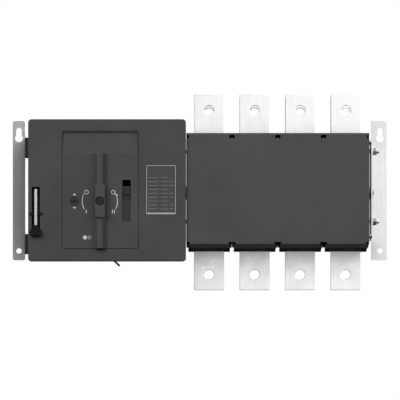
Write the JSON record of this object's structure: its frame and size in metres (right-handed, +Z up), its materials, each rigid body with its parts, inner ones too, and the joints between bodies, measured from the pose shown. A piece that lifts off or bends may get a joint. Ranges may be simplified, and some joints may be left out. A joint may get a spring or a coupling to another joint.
{
  "type": "manual transfer switch",
  "caption": "Panel-mounted changeover switch with a turning bar handle on a dark mechanism box and a row of poles with flat bolt-on bars above and below.",
  "frame": {"origin": "centre of the four mounting holes, on the mounting plane at the back of the feet", "axes": "+X to the right along the poles, +Y towards the mounting panel, +Z up"},
  "size_m": [0.5366, 0.2576, 0.2755],
  "materials": {
    "pole_moulding": "fine matt moulded thermoset",
    "pole_cover_moulding": "fine matt moulded thermoset",
    "housing_moulding": "fine matt moulded plastic",
    "cover_moulding": "fine matt moulded plastic",
    "panel_moulding": "fine matt moulded plastic",
    "handle_moulding": "satin moulded plastic",
    "control_moulding": "matt black plastic",
    "rotor_moulding": "matt moulded thermoset",
    "bearing_nylon": "natural nylon",
    "tinned_copper": "tin-plated copper, satin",
    "bare_copper": "bare copper",
    "silver_pad": "silver alloy",
    "arc_steel": "zinc-plated steel",
    "zinc_sheet": "zinc-plated sheet steel",
    "machined_steel": "machined steel",
    "zinc_fastener": "zinc-plated steel",
    "key_steel": "zinc-plated steel",
    "lever_steel": "blackened steel",
    "label_foil": "dark printed foil with a pale edge"
  },
  "bodies": {
    "frame": {"arc_plates_1": "arc_steel", "arc_plates_2": "arc_steel", "contact_pads": "silver_pad", "cover_screws": "zinc_fastener", "foot_screws": "zinc_fastener", "frame_screws": "zinc_fastener", "front_cover": "cover_moulding", "front_panel": "panel_moulding", "gear_bulkhead": "zinc_sheet", "inner_plate": "zinc_sheet", "key_clip": "control_moulding", "label_plate": "label_foil", "left_foot": "zinc_sheet", "load_terminal_1": "tinned_copper", "load_terminal_2": "tinned_copper", "load_terminal_3": "tinned_copper", "load_terminal_4": "tinned_copper", "mechanism_housing": "housing_moulding", "panel_bush": "bearing_nylon", "pole_front_cover": "pole_cover_moulding", "pole_shell_left_1": "pole_moulding", "pole_shell_left_2": "pole_moulding", "pole_shell_left_3": "pole_moulding", "pole_shell_left_4": "pole_moulding", "pole_shell_right_1": "pole_moulding", "pole_shell_right_2": "pole_moulding", "pole_shell_right_3": "pole_moulding", "pole_shell_right_4": "pole_moulding", "right_bracket": "zinc_sheet", "shaft_bushes": "bearing_nylon", "source_1_terminal_1": "tinned_copper", "source_1_terminal_2": "tinned_copper", "source_1_terminal_3": "tinned_copper", "source_1_terminal_4": "tinned_copper", "source_2_terminal_1": "tinned_copper", "source_2_terminal_2": "tinned_copper", "source_2_terminal_3": "tinned_copper", "source_2_terminal_4": "tinned_copper", "spindle_bridge": "zinc_sheet", "tie_rod_nuts": "zinc_fastener", "tie_rod_washers": "zinc_fastener", "tie_rods": "zinc_fastener"},
    "handle": {"operating_handle": "handle_moulding", "handle_screw": "zinc_fastener", "spindle": "machined_steel", "spindle_pinion": "machined_steel"},
    "rack": {"shift_rack": "machined_steel"},
    "rotor_1": {"rotor_shaft_1": "machined_steel", "sector_gear_1": "machined_steel", "contact_blades_1": "bare_copper", "rotor_sleeves_1": "rotor_moulding"},
    "rotor_2": {"rotor_shaft_2": "machined_steel", "sector_gear_2": "machined_steel", "contact_blades_2": "bare_copper", "rotor_sleeves_2": "rotor_moulding"},
    "slider": {"selector_slider": "control_moulding"},
    "barrel": {"lock_barrel": "control_moulding"},
    "key": {"key_shaft": "key_steel", "key_grip": "control_moulding"},
    "lever": {"release_lever": "lever_steel"}
  },
  "joints": [
    {"name": "handle_turn", "type": "hinge", "parent": "frame", "child": "handle", "pos_m": [-0.1415, -0.245, -0.0245], "axis": [0, -1, 0], "range_deg": [-70, 70]},
    {"name": "rack_slide", "type": "slide", "parent": "frame", "child": "rack", "axis": [0, 0, 1], "range_m": [-0.0269, 0.0269]},
    {"name": "rotor_1_turn", "type": "hinge", "parent": "frame", "child": "rotor_1", "pos_m": [0.11, -0.19, -0.009], "axis": [1, 0, 0], "range_deg": [-44.1, 44.1]},
    {"name": "rotor_2_turn", "type": "hinge", "parent": "frame", "child": "rotor_2", "pos_m": [0.11, -0.104, -0.009], "axis": [1, 0, 0], "range_deg": [-44.1, 44.1]},
    {"name": "slider_travel", "type": "slide", "parent": "frame", "child": "slider", "axis": [0, 0, 1], "range_m": [0, 0.0085]},
    {"name": "barrel_turn", "type": "hinge", "parent": "frame", "child": "barrel", "pos_m": [-0.1775, -0.24, -0.0245], "axis": [0, -1, 0], "range_deg": [0, 90]},
    {"name": "key_pull", "type": "slide", "parent": "frame", "child": "key", "axis": [0, -1, 0], "range_m": [0, 0.03]},
    {"name": "lever_swing", "type": "hinge", "parent": "frame", "child": "lever", "pos_m": [-0.131, -0.228, -0.0996], "axis": [0, 1, 0], "range_deg": [0, 94]}
  ],
  "couplings": [
    {"joint": "rack_slide", "follows": "handle_turn", "m_per_rad": 0.022},
    {"joint": "rotor_1_turn", "follows": "handle_turn", "ratio": 0.62857},
    {"joint": "rotor_2_turn", "follows": "handle_turn", "ratio": -0.62857}
  ]
}
